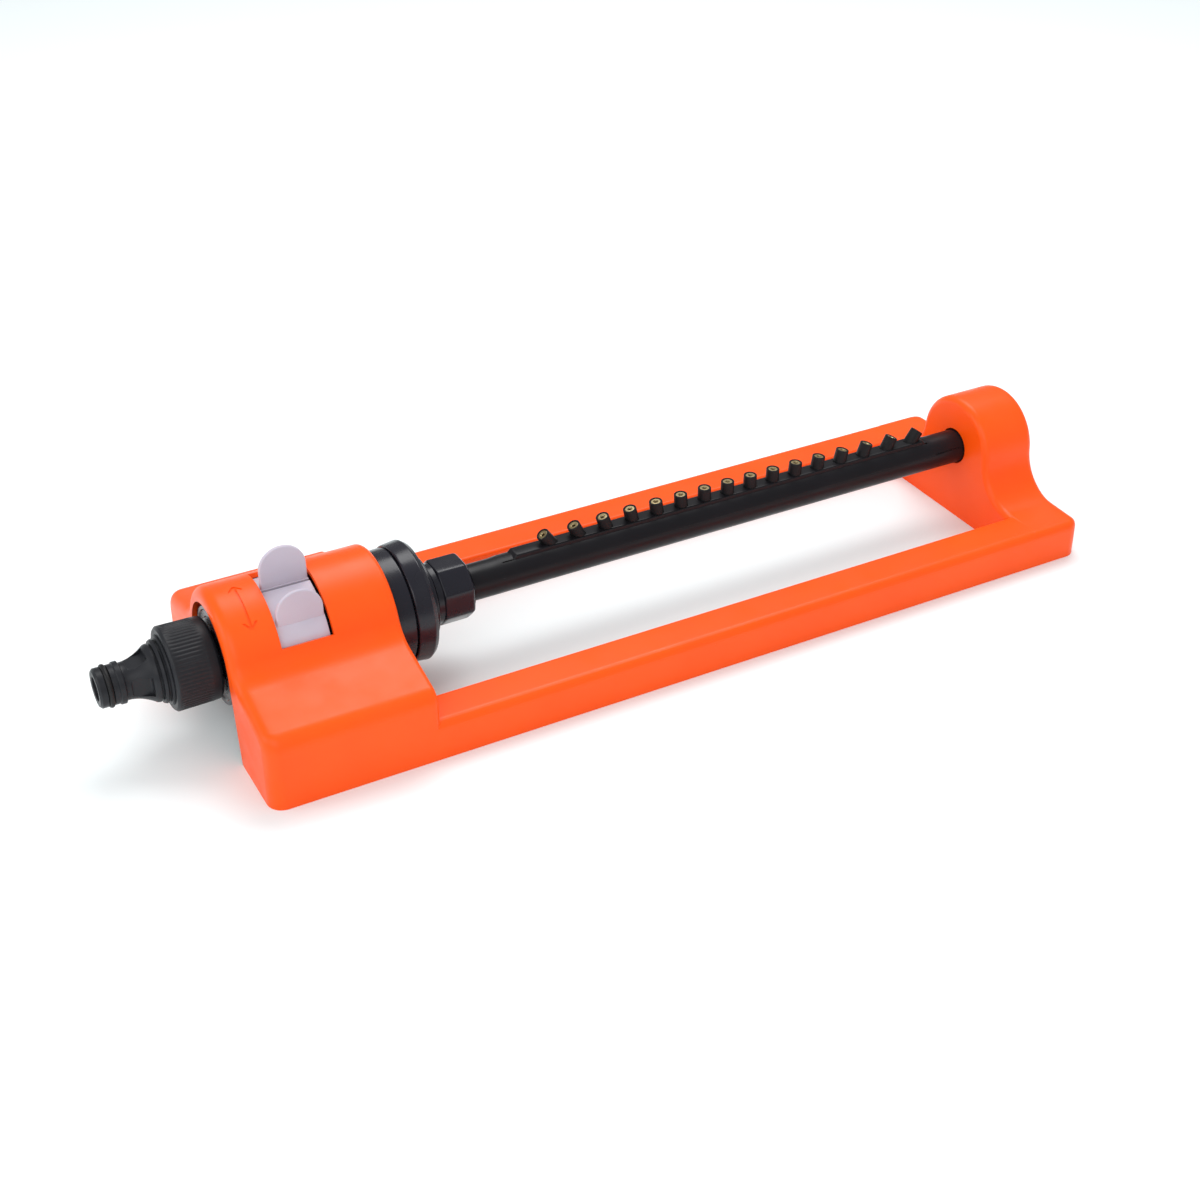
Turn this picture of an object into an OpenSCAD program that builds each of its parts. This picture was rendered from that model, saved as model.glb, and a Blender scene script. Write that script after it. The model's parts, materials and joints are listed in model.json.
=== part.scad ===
// Oscillating lawn sprinkler: a hollow moulded frame, a water motor under its
// left housing, and a spray tube that the motor rocks about its own axis.
// X runs along the tube, +Z is up, and the origin is under the middle of the
// whole object, on the ground.

/* [Frame] */
// Length of the frame along the tube
frame_l = 400; // [360:1:480]
// Width of the frame
frame_w = 126.4; // [116:0.2:152]
// Height of the spray tube's axis above the ground
axis_z = 35.1; // [33:0.1:42]
// Wall of the moulded frame
wall = 2; // [1.6:0.1:2.4]
// Radius of the frame's corners, seen from above
corner_r = 6.8; // [4:0.1:9]
// Width of each side rail
rail_w = 19.5; // [15:0.5:24]
// Height of each side rail
rail_h = 17.7; // [14:0.1:21.5]

/* [Housing over the motor] */
// Length of the housing
housing_l = 72; // [72:0.5:80]
// Radius of its dome about the tube's axis
housing_r = 28.4; // [28.4:0.1:30]
// Radius of the hollow between dome and shoulder
housing_fillet = 14; // [10:0.5:17]
// Fall of the shoulder, in degrees
housing_slope = 14; // [6:1:16]
// Radius of the shoulder's outer edge
housing_edge = 8; // [4:0.5:9]

/* [End post] */
// Length of the post that holds the tube's far end
post_l = 29; // [26:0.5:35]
// Radius of its dome about the tube's axis
post_r = 24; // [20:0.5:26]
// Radius of the hollow between dome and shoulder
post_fillet = 20; // [15:0.5:21]
// Fall of the shoulder, in degrees
post_slope = 1.5; // [1:0.5:6]
// Radius of the shoulder's outer edge
post_edge = 4; // [2:0.5:6]

/* [Motor] */
// Outer radius of the motor case
case_r = 21; // [20.4:0.1:21.2]
// Wall of the motor case
case_wall = 2.4; // [2:0.1:2.6]
// Outer radius of the case's front ring
ring_r = 24.5; // [23.5:0.1:25]
// Outer radius of the screwed motor cap
cap_r = 26; // [25:0.1:28]
// Bore of the inlet spigot
inlet_bore_r = 7; // [5:0.1:8]

/* [Gear train] */
// Gear module
gear_m = 0.6; // [0.55:0.01:0.62]
// Teeth on both pinions
pinion_z = 10; // [10:1:11]
// Teeth on both wheels
wheel_z = 24; // [22:1:24]
// Radius of the centre shaft
centre_shaft_r = 1.5; // [1:0.1:1.6]
// Radius of the counter shaft
counter_shaft_r = 1.2; // [0.9:0.1:1.3]

/* [Spray tube] */
// Outer radius of the tube
tube_r = 8; // [7.5:0.1:9]
// Wall of the tube
tube_wall = 1.6; // [1.2:0.1:2]
// Outer radius of the hollow output shaft
shaft_r = 6.9; // [6.2:0.1:7.2]
// Bore of the output shaft
shaft_bore_r = 5; // [4:0.1:5.2]
// Radius of the pivot pin at the far end
pivot_r = 4; // [3:0.1:5]
// Number of nozzles
nozzle_n = 16; // [12:1:18]
// Distance between nozzles
nozzle_pitch = 12; // [11:0.1:13]
// Radius of a nozzle
nozzle_r = 3.1; // [2.6:0.1:3.4]
// Height of a nozzle's tip above the tube's axis
nozzle_h = 15.2; // [13:0.1:17]
// Lean of the two end nozzles, in degrees
nozzle_lean = 35; // [20:1:42]
// Extra distance of the two end nozzles from the row's middle
nozzle_spread = 6.1; // [0:0.1:7]

/* [Range tabs] */
// Width of the slot in the dome that the tabs stand in
slot_w = 21.8; // [19:0.1:22]
// Height of a tab's finger grip above its plate
grip_h = 13; // [11:0.5:18]
// Height of the rear range tab's grip
rear_grip_h = 17; // [12:0.5:20]
// Thickness of a finger grip
grip_t = 2.2; // [1.6:0.1:3]

/* [Hose inlet] */
// Outer radius of the hose nose
nose_r = 8.15; // [7.5:0.05:8.6]
// Bore of the hose nose
nose_bore_r = 5; // [4:0.1:5.4]
// Thread radius that the nose screws into
inlet_thread_r = 13.4; // [12.9:0.1:14]
// Outer radius of the swivel nut
nut_r = 17.9; // [17.6:0.1:19]

/* [Hidden] */
$fn = 96;
eps = 0.01;
over = 1;                          // how far a cut runs past the face it opens
run_gap = 0.05;                    // radial clearance of a running fit
seat_gap = 0.05;                   // clearance of a seated or screwed piece
free_gap = 0.4;                    // clearance between pieces that pass each other
xl = -frame_l / 2;                 // left end of the frame
xr = frame_l / 2;                  // right end of the frame
house_x = xl + housing_l;          // right face of the housing
post_x = xr - post_l;              // left face of the post
nose_l = 27.6;                     // hose nose, measured from the nut
nut_l = 19;                        // swivel nut
nut_x = xl + 0.4;                  // right face of the nut
nut_x0 = nut_x - nut_l;
nose_x = nut_x0 - nose_l;          // tip of the nose, the object's left end
mid_x = (nose_x + xr) / 2;         // moved to the origin
housing_edge_z = 25;               // height of the outer edge's centre
post_edge_z = 13.7;
top_z = axis_z + housing_r + 5;

// Hose inlet
spigot_r = 10;                     // inlet spigot that the nut swivels on
spigot_x = xl - 6.5;
spigot_flange_r = inlet_thread_r - 0.3;
spigot_flange_t = 2.7;
nut_lip_x = spigot_x + spigot_flange_t + 0.3;
washer_in_t = 2;
washer_x = spigot_x - 0.3 - washer_in_t;
nose_cord_r = 1.1;
nose_seal_x = nose_x + 4.6;

// Motor stations along X
case_x = xl + 2;                   // outer face of the case's back wall
case_in_r = case_r - case_wall;
jet_x = case_x + 6;                // jet plate
jet_t = 2.5;
turbine_x = jet_x + 9;             // turbine wheel
turbine_l = 7;
plate_x = turbine_x + turbine_l + 2; // gear plate
plate_t = 2;
stage1_x = plate_x + plate_t + 1;  // turbine pinion on first wheel
gear_w = 6;
stage2_x = stage1_x + gear_w + 0.6; // counter pinion on output wheel
ring_x = house_x - 3;              // case's front ring
ring_end = house_x + 8;
cap_x = ring_end + 0.3;            // motor cap
cap_end = cap_x + 9;
cap_t = 2.2;
neck_r = 22.4;
neck_end = cap_end - cap_t - 0.8;
seal_t = 0.8;
flange_r = 18.3;                   // outlet bush
flange_end = cap_end + 4.2;
sleeve_r = 11;
sleeve_l = 4.8;
oring_r = 1;                       // cord radius of the shaft seal
seal_seat_r = shaft_r + 2 * oring_r + 0.1;
hub_r = centre_shaft_r + 1;
lever_x = jet_x + jet_t + 1;       // reversing lever
lever_t = 1.6;
lever_pin_r = 1.2;
lever_z = 11;                      // height of its pivot above the axis
lever_half = 9;
coil_n = 3;                        // coils of its torsion spring
coil_d = 0.7;
spring_x = lever_x + lever_t + 0.4;

// Gears
gear_pa = 25;                      // pressure angle
gear_play = 0.15;                  // backlash
gear_gap = gear_m * (pinion_z + wheel_z) / 2;  // distance between gear axes

// Union between output shaft and spray tube
head_x = flange_end + free_gap;
head_r = 12.2;
head_l = 11.7;
washer_t = 0.8;
tube_flange_t = 2.2;
union_x = head_x + 3.3;
union_r = 14.7;
union_flat = 13.5;                 // from the axis to a flat
union_collar_r = 13.5;
union_collar_l = 3.2;
tube_x = head_x + head_l + washer_t;
lip_x = tube_x + tube_flange_t;
union_end = lip_x + 3.2;

// Far end of the spray tube
tube_end = post_x + 3;
tube_bore_r = tube_r - tube_wall;
plug_l = 12;
plug_t = 1.5;
boss_x = tube_end + plug_t + free_gap;
boss_l = 10;
bush_t = 1.5;
plug_seal_x = tube_end - 7;
plug_seal_r = 0.9;

// Nozzle row
row_x = (house_x + post_x) / 2 + 27;
row_half = (nozzle_n - 1) / 2;
rib_x0 = row_x - row_half * nozzle_pitch - 26;
rib_x1 = row_x + row_half * nozzle_pitch + nozzle_spread + 5.5;
rib_y = nozzle_r + 0.4;
rib_z = tube_r + 1.5;
saddle_r = tube_r + 0.35;
saddle_z = 2.7;
jet_r = 2.2;

// Range tabs
slot_x = xl + 22.2;
slot_x1 = slot_x + slot_w;
slot_a0 = 24.5;                    // angles from -Y towards +Z
slot_a1 = 110;
tab_out = housing_r - wall - 0.3;
tab_in = tab_out - 1.7;
band_out = tab_in - 0.3;
band_in = case_r + 0.3;
band_w = 3.5;
front_a0 = 18;
front_a1 = 80;
front_grip_a = 46;
rear_a0 = 82.5;
rear_a1 = 126;
rear_grip_a = 86;

// Motor straps
strap_w = 5;
strap_t = 2.2;
strap_xs = [xl + 11, house_x - 19];
strap_y = case_r + 7.2;
strap_out = case_r + 11.5;
screw_r = 1.5;
screw_head_r = 2.8;
screw_l = 5;
boss_r = 3.6;

// ---- helpers ----

// Points of an arc about c, from angle a0 to a1
function arc(c, r, a0, a1, n = 12) =
    [for (i = [0:n]) let (a = a0 + (a1 - a0) * i / n) c + r * [cos(a), sin(a)]];

// Right half of an arched section in (y, z), inset by t: an outer wall, a rounded
// edge, a sloping shoulder, a hollow fillet and a dome about the tube's axis
function half_arch(dome, fillet, slope, edge, edge_z, t) =
    let (
        c = [0, axis_z],
        a = [frame_w / 2 - edge, edge_z],
        n = [sin(slope), cos(slope)],
        up = asin((n * (a - c) + edge + fillet) / (dome + fillet)) - slope,
        b = c + (dome + fillet) * [cos(up), sin(up)]
    )
    concat(
        [[frame_w / 2 - t, t == 0 ? 0 : -over]],
        arc(a, max(edge - t, 0.2), 0, 90 - slope),
        arc(b, fillet + t, 270 - slope, 180 + up),
        arc(c, dome - t, up, 90, 16)
    );

function mirror_y(pts) =
    concat(pts, [for (i = [len(pts) - 2:-1:0]) [-pts[i][0], pts[i][1]]]);

function arch(dome, fillet, slope, edge, edge_z, t) =
    mirror_y(half_arch(dome, fillet, slope, edge, edge_z, t));

// Involute gear outline with a tooth centred at angle phase
function inv(a) = tan(a) - a * PI / 180;
function flank(rb, r, psi, rho) =
    rho <= rb ? psi + inv(gear_pa) * 180 / PI
    : psi + (inv(gear_pa) - inv(acos(rb / rho))) * 180 / PI;
function gear_outline(z, phase) =
    let (
        r = gear_m * z / 2,
        rb = r * cos(gear_pa),
        top = r + 0.8 * gear_m,
        root = r - 1.1 * gear_m,
        psi = (PI * gear_m / 2 - gear_play) / 2 / r * 180 / PI,
        rise = concat([root], [for (i = [0:4]) max(rb, root) + (top - max(rb, root)) * i / 4])
    )
    [for (k = [0:z - 1], s = [-1, 1], i = [0:len(rise) - 1])
        let (
            rho = s < 0 ? rise[i] : rise[len(rise) - 1 - i],
            a = phase + k * 360 / z + s * flank(rb, r, psi, rho)
        )
        rho * [cos(a), sin(a)]];

// Moves a piece drawn about the tube's axis to its place
module on_axis() translate([-mid_x, 0, axis_z]) children();

// Moves a piece drawn from the ground to its place
module on_ground() translate([-mid_x, 0, 0]) children();

// Extrudes an outline drawn in (y, z) from x0 to x1
module along_x(x0, x1)
    translate([x0, 0, 0]) rotate([90, 0, 90]) linear_extrude(height = x1 - x0) children();

// Round bar along X
module bar(x0, x1, r, y = 0, z = 0)
    translate([x0, y, z]) rotate([0, 90, 0]) cylinder(h = x1 - x0, r = r);

// Tube along X
module pipe(x0, x1, r, bore)
    difference() {
        bar(x0, x1, r);
        bar(x0 - over, x1 + over, bore);
    }

// Body of revolution about X from [radius, x] points
module turned(pts) rotate([0, 90, 0]) rotate_extrude() polygon(pts);

// Ring of round cord about X
module cord_ring(x, r, cord_r)
    translate([x, 0, 0]) rotate([0, 90, 0]) rotate_extrude()
        translate([r, 0]) circle(r = cord_r, $fn = 32);

// Sector between two radii, angles from -Y towards +Z
module sector(x0, x1, r0, r1, a0, a1)
    along_x(x0, x1)
        polygon(concat(
            arc([0, 0], r1, 180 - a0, 180 - a1, 24),
            arc([0, 0], r0, 180 - a1, 180 - a0, 24)));

// Block with four rounded upright corners, inset by t
module plan_block(t, z0, z1) {
    l = frame_l - 2 * t;
    w = frame_w - 2 * t;
    r = corner_r - t;
    translate([-l / 2 + r, -w / 2, z0]) cube([l - 2 * r, w, z1 - z0]);
    translate([-l / 2, -w / 2 + r, z0]) cube([l, w - 2 * r, z1 - z0]);
    for (x = [-1, 1], y = [-1, 1])
        translate([x * (l / 2 - r), y * (w / 2 - r), z0]) cylinder(h = z1 - z0, r = r);
}

// ---- frame ----

module housing_block(t)
    intersection() {
        along_x(xl + t, house_x - t)
            polygon(arch(housing_r, housing_fillet, housing_slope, housing_edge,
                housing_edge_z, t));
        plan_block(t, t == 0 ? 0 : -over, top_z);
    }

module post_block(t)
    intersection() {
        along_x(post_x + t, xr - t)
            polygon(arch(post_r, post_fillet, post_slope, post_edge, post_edge_z, t));
        plan_block(t, t == 0 ? 0 : -over, top_z);
    }

module rail_blocks()
    for (s = [-1, 1])
        translate([house_x - wall, s > 0 ? frame_w / 2 - rail_w : -frame_w / 2, 0])
            cube([post_x - house_x + 2 * wall, rail_w, rail_h]);

// Saddle plates and screw bosses that seat the motor case
module motor_saddles()
    for (x = strap_xs)
        intersection() {
            housing_block(wall / 2);
            difference() {
                union() {
                    translate([x - strap_w / 2, -boss_r - strap_y, axis_z])
                        cube([strap_w, 2 * (boss_r + strap_y), top_z]);
                    for (s = [-1, 1])
                        translate([x, s * strap_y, axis_z]) cylinder(h = top_z, r = boss_r);
                }
                translate([0, 0, axis_z]) bar(x - 10, x + 10, case_r + seat_gap);
            }
        }

// Blind holes for the strap screws
module screw_holes()
    for (x = strap_xs, s = [-1, 1])
        translate([x, s * strap_y, axis_z - over])
            cylinder(h = screw_l, r = screw_r + seat_gap);

// Open arch in the end wall that the motor case shows through
module inlet_arch() {
    arch_r = case_r + 1.6;
    splay = 6;
    along_x(xl - over, xl + wall + over)
        polygon(concat(
            [[arch_r + splay, -over]],
            arc([0, axis_z], arch_r, 0, 180, 36),
            [[-arch_r - splay, -over]]));
}

module rail_channels()
    for (s = [-1, 1])
        translate([xl + corner_r, s > 0 ? frame_w / 2 - rail_w + wall : wall - frame_w / 2, -over])
            cube([frame_l - 2 * corner_r, rail_w - 2 * wall, rail_h - wall + over]);

// Socket in the post for the pivot bush
module pivot_boss()
    translate([0, 0, axis_z]) {
        pipe(boss_x, xr - wall / 2, pivot_r + bush_t + 2.5, pivot_r + bush_t);
        translate([boss_x + 4, -1, pivot_r + bush_t + 1])
            cube([xr - wall / 2 - boss_x - 4, 2, post_r - wall / 2 - pivot_r - bush_t - 1.5]);
    }

// Housing, end post and rails, hollow and open below
module open_shell()
    difference() {
        union() {
            housing_block(0);
            post_block(0);
            rail_blocks();
        }
        housing_block(wall);
        post_block(wall);
        rail_channels();
        inlet_arch();
        translate([0, 0, axis_z]) {
            sector(slot_x, slot_x1, tab_in, housing_r + 5, slot_a0, slot_a1);
            bar(house_x - wall - over, house_x + over, ring_r + 0.5);
            bar(post_x - over, post_x + wall + over, tube_r + 0.5);
        }
    }

module frame_shell()
    color([0.99, 0.43, 0.18]) on_ground()
        difference() {
            union() {
                open_shell();
                motor_saddles();
                pivot_boss();
            }
            screw_holes();
        }

module motor_straps()
    color([0.14, 0.14, 0.16]) on_axis()
        for (x = strap_xs)
            difference() {
                union() {
                    along_x(x - strap_w / 2, x + strap_w / 2)
                        difference() {
                            circle(r = case_r + seat_gap + strap_t);
                            circle(r = case_r + seat_gap);
                            translate([-50, 0]) square([100, 50]);
                        }
                    for (s = [-1, 1])
                        translate([x - strap_w / 2, s > 0 ? case_r + strap_t / 2 : -strap_out, -strap_t])
                            cube([strap_w, strap_out - case_r - strap_t / 2, strap_t]);
                    for (s = [-1, 1])
                        translate([x, s * strap_y, -strap_t]) cylinder(h = strap_t, r = boss_r);
                }
                bar(x - strap_w, x + strap_w, case_r + seat_gap);
                for (s = [-1, 1])
                    translate([x, s * strap_y, -strap_t - over])
                        cylinder(h = strap_t + 2 * over, r = screw_r + seat_gap);
            }

module strap_screws()
    color("silver") on_axis()
        for (x = strap_xs, s = [-1, 1])
            translate([x, s * strap_y, -strap_t]) {
                cylinder(h = strap_t + screw_l - 1.4, r = screw_r);
                translate([0, 0, -1.8]) difference() {
                    cylinder(h = 1.8, r = screw_head_r);
                    for (a = [0, 90])
                        rotate([0, 0, a]) translate([-1.6, -0.35, -over]) cube([3.2, 0.7, over + 0.9]);
                }
            }

// ---- water motor ----

module motor_case()
    color([0.13, 0.13, 0.15]) on_axis()
        turned([
            [inlet_bore_r, spigot_x], [spigot_flange_r, spigot_x],
            [spigot_flange_r, spigot_x + spigot_flange_t], [spigot_r, spigot_x + spigot_flange_t],
            [spigot_r, case_x], [case_r, case_x], [case_r, ring_x], [ring_r, ring_x],
            [ring_r, ring_end], [neck_r, ring_end], [neck_r, neck_end],
            [case_in_r, neck_end], [case_in_r, case_x + case_wall],
            [inlet_bore_r, case_x + case_wall]]);

module motor_cap()
    color([0.13, 0.13, 0.15]) on_axis()
        turned([
            [neck_r + seat_gap, cap_x], [cap_r - 0.8, cap_x], [cap_r, cap_end - 0.6],
            [cap_r - 0.6, cap_end], [sleeve_r + seat_gap, cap_end],
            [sleeve_r + seat_gap, cap_end - cap_t], [neck_r + seat_gap, cap_end - cap_t]]);

module cap_seal()
    color([0.08, 0.08, 0.08]) on_axis()
        pipe(neck_end, neck_end + seal_t, neck_r - 0.3, case_in_r + 0.3);

module outlet_bush()
    color([0.16, 0.16, 0.18]) on_axis()
        turned([
            [shaft_r + run_gap, flange_end], [flange_r - 0.6, flange_end],
            [flange_r, flange_end - 0.6], [flange_r, cap_end], [sleeve_r, cap_end],
            [sleeve_r, cap_end - sleeve_l], [seal_seat_r, cap_end - sleeve_l],
            [seal_seat_r, cap_end - sleeve_l + 2 * oring_r + 0.2],
            [shaft_r + run_gap, cap_end - sleeve_l + 2 * oring_r + 0.2]]);

module shaft_seal()
    color([0.08, 0.08, 0.08]) on_axis()
        cord_ring(cap_end - sleeve_l + oring_r + 0.1, shaft_r + oring_r + 0.1, oring_r);

// Plate whose slanted jets drive the turbine; its boss holds the centre shaft
module jet_plate()
    color([0.85, 0.85, 0.8]) on_axis()
        difference() {
            union() {
                bar(jet_x, jet_x + jet_t, case_in_r - seat_gap);
                bar(jet_x, lever_x + lever_t + 0.6, centre_shaft_r + 2);
            }
            bar(jet_x - over, turbine_x, centre_shaft_r);
            bar(jet_x - over, turbine_x, lever_pin_r, z = lever_z);
            for (i = [0:5])
                rotate([60 * i, 0, 0]) translate([jet_x, 13, 0]) rotate([25, 0, 0])
                    bar(-4, 8, 1.5);
        }

module centre_shaft()
    color("silver") on_axis() bar(jet_x, stage2_x + gear_w - 1, centre_shaft_r);

module counter_shaft()
    color("silver") on_axis() bar(plate_x, stage2_x + gear_w + 1.2, counter_shaft_r, z = -gear_gap);

module gear_plate()
    color([0.85, 0.85, 0.8]) on_axis()
        difference() {
            bar(plate_x, plate_x + plate_t, case_in_r - seat_gap);
            bar(plate_x - over, plate_x + plate_t + over, hub_r + free_gap);
            bar(plate_x - over, plate_x + plate_t + over, counter_shaft_r, z = -gear_gap);
            for (i = [0:4])
                rotate([60 * i - 30, 0, 0])
                    bar(plate_x - over, plate_x + plate_t + over, 2.6, y = 0, z = 12.8);
        }

// Turbine wheel with its pinion in one piece
module turbine_wheel()
    color([0.9, 0.9, 0.85]) on_axis()
        difference() {
            union() {
                bar(turbine_x + turbine_l - 1.2, turbine_x + turbine_l, case_in_r - 2);
                bar(turbine_x, stage1_x + eps, hub_r);
                for (i = [0:11])
                    rotate([30 * i, 0, 0]) translate([turbine_x, 1, -0.6])
                        cube([turbine_l - 0.5, case_in_r - 3, 1.2]);
                along_x(stage1_x, stage1_x + gear_w) polygon(gear_outline(pinion_z, 18));
            }
            bar(turbine_x - over, stage1_x + gear_w + over, centre_shaft_r + run_gap);
        }

// Wheel and pinion that turn together on the counter shaft
module counter_gear()
    color([0.9, 0.9, 0.85]) on_axis() translate([0, 0, -gear_gap])
        difference() {
            union() {
                along_x(stage1_x, stage1_x + gear_w) polygon(gear_outline(wheel_z, 7.5));
                along_x(stage1_x + gear_w - eps, stage2_x + gear_w - 0.6)
                    polygon(gear_outline(pinion_z, 0));
            }
            bar(stage1_x - over, stage2_x + gear_w + over, counter_shaft_r + run_gap);
        }

module output_gear()
    color([0.9, 0.9, 0.85]) on_axis()
        difference() {
            along_x(stage2_x, stage2_x + gear_w - 0.2) polygon(gear_outline(wheel_z, 0));
            bar(stage2_x - over, stage2_x + gear_w + over, centre_shaft_r + run_gap);
        }

// ---- spray tube ----

// Hollow shaft from the output gear to the screwed head, with side ports for water
module output_shaft()
    color([0.13, 0.13, 0.15]) on_axis()
        difference() {
            union() {
                bar(stage2_x + gear_w - 0.2, head_x + over, shaft_r);
                bar(head_x, head_x + head_l, head_r);
            }
            bar(stage2_x + gear_w - 1, stage2_x + gear_w + 2, centre_shaft_r + run_gap);
            bar(stage2_x + gear_w + 2, head_x + head_l + over, shaft_bore_r);
            for (a = [0, 90])
                rotate([a, 0, 0]) translate([stage2_x + gear_w + 9, 0, 0])
                    cylinder(h = 4 * shaft_r, r = 2.5, center = true);
        }

module union_nut()
    color([0.13, 0.13, 0.15]) on_axis()
        difference() {
            union() {
                intersection() {
                    bar(union_x, union_end, union_r);
                    rotate([22.5, 0, 0]) translate([union_x - 1, 0, 0]) rotate([0, 90, 0])
                        cylinder(h = union_end - union_x + 2, r = union_flat / cos(22.5), $fn = 8);
                }
                bar(union_x - union_collar_l + 0.6, union_x + 1, union_collar_r);
            }
            bar(union_x - 5, lip_x, head_r + seat_gap);
            bar(lip_x - 1, union_end + over, tube_r + seat_gap);
        }

module tube_washer()
    color([0.08, 0.08, 0.08]) on_axis()
        pipe(head_x + head_l, tube_x, head_r - 0.5, tube_bore_r);

// Nozzles lean and spread out more and more towards the ends of the row
function off(i) = (i - row_half) / row_half;
function lean(i) = nozzle_lean * off(i) * abs(off(i));
function foot_x(i) = row_x + off(i) * (row_half * nozzle_pitch + nozzle_spread * pow(off(i), 2));

// Turns a nozzle about its foot on top of the rib
module at_nozzle(i)
    translate([foot_x(i), 0, rib_z]) rotate([0, lean(i), 0]) translate([0, 0, -rib_z]) children();

module spray_tube()
    color([0.13, 0.13, 0.15]) on_axis()
        difference() {
            union() {
                bar(tube_x, tube_end, tube_r);
                bar(tube_x, tube_x + tube_flange_t, head_r - 0.5);
                intersection() {
                    bar(rib_x0 - 6, rib_x1 + 5, saddle_r);
                    translate([rib_x0 - 10, -20, saddle_z]) cube([rib_x1 - rib_x0 + 20, 40, 20]);
                }
                translate([rib_x0, -rib_y, 0]) cube([rib_x1 - rib_x0, 2 * rib_y, rib_z]);
            }
            bar(tube_x - over, tube_end + over, tube_bore_r);
            for (i = [0:nozzle_n - 1])
                at_nozzle(i) cylinder(h = nozzle_h + 5, r = nozzle_r);
        }

module spray_nozzles()
    color([0.1, 0.1, 0.11]) on_axis()
        for (i = [0:nozzle_n - 1])
            at_nozzle(i) translate([0, 0, tube_bore_r + 0.4])
                difference() {
                    cylinder(h = nozzle_h - tube_bore_r - 0.4, r = nozzle_r - 0.02);
                    translate([0, 0, -over]) cylinder(h = nozzle_h + over, r = jet_r);
                }

module nozzle_jets()
    color([0.72, 0.6, 0.35]) on_axis()
        for (i = [0:nozzle_n - 1])
            at_nozzle(i) translate([0, 0, tube_bore_r + 0.8])
                difference() {
                    cylinder(h = nozzle_h - tube_bore_r - 1.1, r = jet_r);
                    translate([0, 0, -over]) cylinder(h = nozzle_h, r = 0.6);
                }

module tube_plug()
    color([0.13, 0.13, 0.15]) on_axis()
        difference() {
            union() {
                bar(tube_end - plug_l, tube_end, tube_bore_r - seat_gap);
                bar(tube_end, tube_end + plug_t, tube_r);
                bar(tube_end, boss_x + boss_l - 1, pivot_r);
            }
            difference() {
                bar(plug_seal_x - plug_seal_r - 0.1, plug_seal_x + plug_seal_r + 0.1, tube_r);
                bar(plug_seal_x - 5, plug_seal_x + 5, tube_bore_r - 2 * plug_seal_r - seat_gap);
            }
        }

module plug_seal()
    color([0.08, 0.08, 0.08]) on_axis()
        cord_ring(plug_seal_x, tube_bore_r - plug_seal_r - seat_gap / 2, plug_seal_r);

module post_bush()
    color([0.9, 0.9, 0.85]) on_axis()
        pipe(boss_x, boss_x + boss_l, pivot_r + bush_t, pivot_r + run_gap);

// ---- hose inlet ----

// The nut's inner lip turns behind the case's spigot flange
module swivel_nut()
    color([0.14, 0.14, 0.15]) on_axis()
        turned([
            [inlet_thread_r + seat_gap, nut_x0], [nut_r - 0.7, nut_x0], [nut_r, nut_x0 + 0.9],
            [nut_r - 0.8, nut_x - 0.8], [nut_r - 1.6, nut_x], [spigot_r + 0.3, nut_x],
            [spigot_r + 0.3, nut_lip_x], [inlet_thread_r + seat_gap, nut_lip_x]]);

module hose_nose()
    color([0.12, 0.12, 0.13]) on_axis() {
        difference() {
            union() {
                turned([
                    [nose_bore_r, nose_x], [nose_r - 0.7, nose_x], [nose_r, nose_x + 0.8],
                    [nose_r, nose_seal_x - nose_cord_r - 0.15],
                    [nose_r - 1.5, nose_seal_x - nose_cord_r - 0.15],
                    [nose_r - 1.5, nose_seal_x + nose_cord_r + 0.15],
                    [nose_r, nose_seal_x + nose_cord_r + 0.15],
                    [nose_r, nose_x + 8.2], [nose_r + 0.55, nose_x + 8.2],
                    [nose_r + 0.55, nose_x + 10.4], [nose_r - 0.45, nose_x + 10.8],
                    [nose_r - 0.45, nose_x + 15], [nose_r + 2, nose_x + 21.4],
                    [nose_r + 3.65, nose_x + 21.8], [nose_r + 3.65, nose_x + 23.4],
                    [nose_r + 5.1, nose_x + 25.2], [nose_r + 5.1, nut_x0 - 0.4],
                    [inlet_thread_r + 1.8, nut_x0 - 0.4], [inlet_thread_r + 1.8, nut_x0],
                    [inlet_thread_r, nut_x0], [inlet_thread_r, washer_x],
                    [nose_bore_r, washer_x]]);
                for (a = [45:90:315])
                    rotate([a, 0, 0]) along_x_fin();
            }
            bar(nose_x - over, washer_x + over, nose_bore_r);
        }
    }

// One of the webs on the nose's cone
module along_x_fin()
    translate([0, 0.9, 0]) rotate([90, 0, 0]) linear_extrude(height = 1.8)
        polygon([[nose_x + 14.4, 6], [nose_x + 14.4, nose_r + 0.5],
            [nose_x + 21.8, nose_r + 3.4], [nose_x + 21.8, 6]]);

module nose_seal()
    color([0.06, 0.06, 0.06]) on_axis()
        cord_ring(nose_seal_x, nose_r - 1.5 + nose_cord_r + 0.02, nose_cord_r);

module inlet_washer()
    color([0.08, 0.08, 0.08]) on_axis()
        pipe(washer_x, washer_x + washer_in_t, inlet_thread_r - 0.1, inlet_bore_r + 0.5);

module filter_screen()
    color("silver") on_axis()
        difference() {
            bar(spigot_x + 1, spigot_x + 1.8, inlet_bore_r - seat_gap);
            for (ring = [1:2], i = [0:6 * ring - 1])
                rotate([i * 60 / ring, 0, 0])
                    bar(spigot_x, spigot_x + 3, 0.8, y = ring * 2.6);
        }

// ---- range tabs ----

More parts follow.
